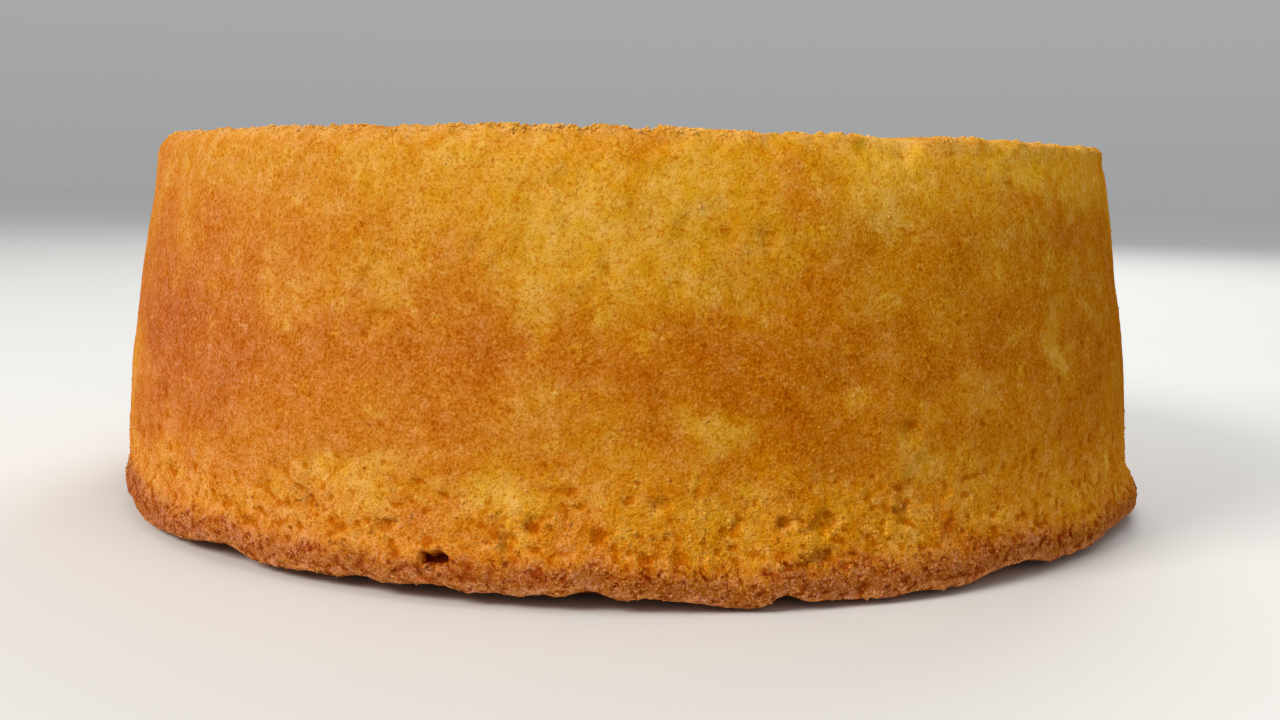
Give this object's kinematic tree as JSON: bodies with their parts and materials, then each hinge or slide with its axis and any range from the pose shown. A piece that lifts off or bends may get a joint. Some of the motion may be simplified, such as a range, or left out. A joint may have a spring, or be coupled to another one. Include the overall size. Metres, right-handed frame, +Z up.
{
  "type": "sponge cake",
  "caption": "Plain round sponge cake, turned out of its tin: tapered golden-brown side, flat top and a browned, uneven lip at the foot.",
  "frame": {"origin": "middle of the flat patch that the cake rests on, under the middle of its outline", "axes": "+Z up, -Y towards the side that the picture shows, +X to that side's right"},
  "size_m": [0.2058, 0.2058, 0.0707],
  "materials": {
    "sponge_crust": "matt, finely grained golden-brown crust with paler yellow patches and a darker lip"
  },
  "bodies": {
    "root": {"sponge_cake": "sponge_crust"}
  },
  "joints": []
}
